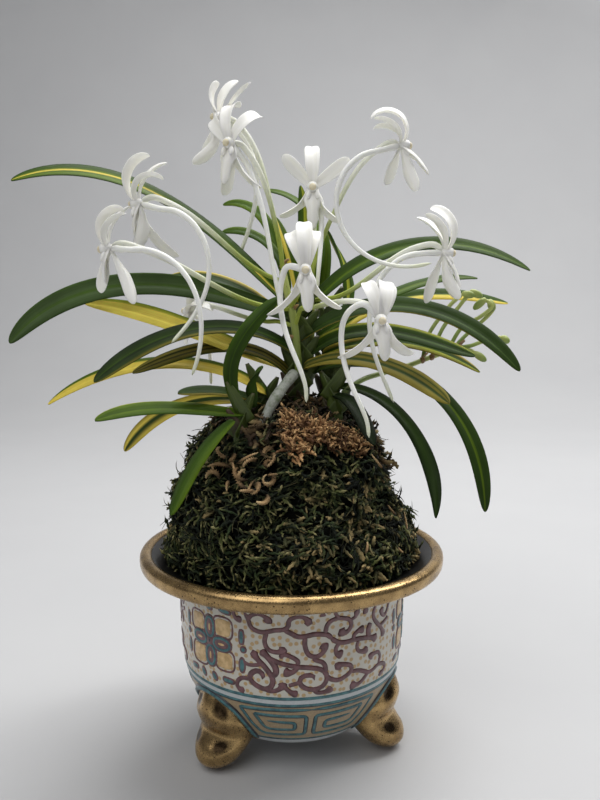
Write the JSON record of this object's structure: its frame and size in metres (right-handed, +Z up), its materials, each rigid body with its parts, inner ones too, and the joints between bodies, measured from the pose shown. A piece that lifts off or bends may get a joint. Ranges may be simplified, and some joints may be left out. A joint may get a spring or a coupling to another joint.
{
  "type": "wind orchid in a footed pot",
  "caption": "Wind orchid with arching striped leaves and long-spurred white blooms, on a tall moss mound in a gilt-footed enamelled pot.",
  "frame": {"origin": "on the floor under the pot's axis, midway between the leaf tips", "axes": "+Z up, +X to the right and -Y towards the viewer of the plant's front"},
  "size_m": [0.1727, 0.105, 0.2251],
  "materials": {
    "leaf_green": "waxy, fresh green with pale stripes",
    "leaf_dark": "waxy, dark green",
    "leaf_striped": "waxy, green with yellow-green stripes along the blade",
    "leaf_yellow": "waxy, yellow with green edge stripes",
    "leaf_sheath": "satin leaf base, browning and purple-tinged at its edges",
    "flower_stalk": "satin pale green stalk",
    "petal": "smooth white petal with faint grey-violet shade, greenish spur tip",
    "young_bud": "satin green buds and bracts",
    "root_skin": "matt silver-grey root covering",
    "pot_glaze": "glossy grey-white enamel with maroon scrolls, teal bands and gold dots",
    "black_glaze": "glossy black glaze of the flange",
    "gilding": "worn antique gilding on the lip and feet",
    "moss": "matt, tangled dark green moss strands",
    "dry_moss": "matt, dry red-brown moss strands"
  },
  "bodies": {
    "root": {"shoot_main": "leaf_sheath", "shoot_rear_left": "leaf_sheath", "shoot_rear_right": "leaf_sheath", "shoot_left": "leaf_sheath", "shoot_front": "leaf_sheath", "shoot_right": "leaf_sheath", "flower_stalk_left": "flower_stalk", "flower_stalk_right": "flower_stalk", "leaf_left_top": "leaf_striped", "leaf_left_broad": "leaf_dark", "leaf_left_middle": "leaf_dark", "leaf_left_low": "leaf_striped", "leaf_left_crown": "leaf_striped", "leaf_right_top": "leaf_green", "leaf_right_broad": "leaf_dark", "leaf_right_middle": "leaf_striped", "leaf_right_front": "leaf_striped", "leaf_right_hanging": "leaf_green", "leaf_rear_left": "leaf_dark", "leaf_rear_yellow": "leaf_yellow", "leaf_rear_arched": "leaf_green", "leaf_rear_small": "leaf_green", "leaf_rear_bowed": "leaf_green", "leaf_rear_upright": "leaf_green", "leaf_back_narrow": "leaf_green", "leaf_back_yellow": "leaf_yellow", "leaf_back_low": "leaf_yellow", "leaf_back_upright": "leaf_green", "leaf_back_bowed": "leaf_striped", "leaf_low_yellow": "leaf_yellow", "leaf_low_dark": "leaf_dark", "leaf_low_drooping": "leaf_striped", "leaf_low_short": "leaf_dark", "leaf_front_low": "leaf_green", "leaf_front_upright": "leaf_dark", "leaf_front_hanging": "leaf_green", "leaf_side_hanging": "leaf_dark", "leaf_side_short": "leaf_dark", "bloom_left_upper": "petal", "bloom_left_lower": "petal", "bloom_top_rear": "petal", "bloom_top_front": "petal", "bloom_centre_upper": "petal", "bloom_centre_front": "petal", "bloom_right_lower": "petal", "bloom_right_top": "petal", "bloom_right_middle": "petal", "bloom_rear_low": "petal", "bud_spray": "young_bud", "aerial_root": "root_skin", "pot": "pot_glaze", "moss_mound": "moss", "dry_moss": "dry_moss"}
  },
  "joints": []
}
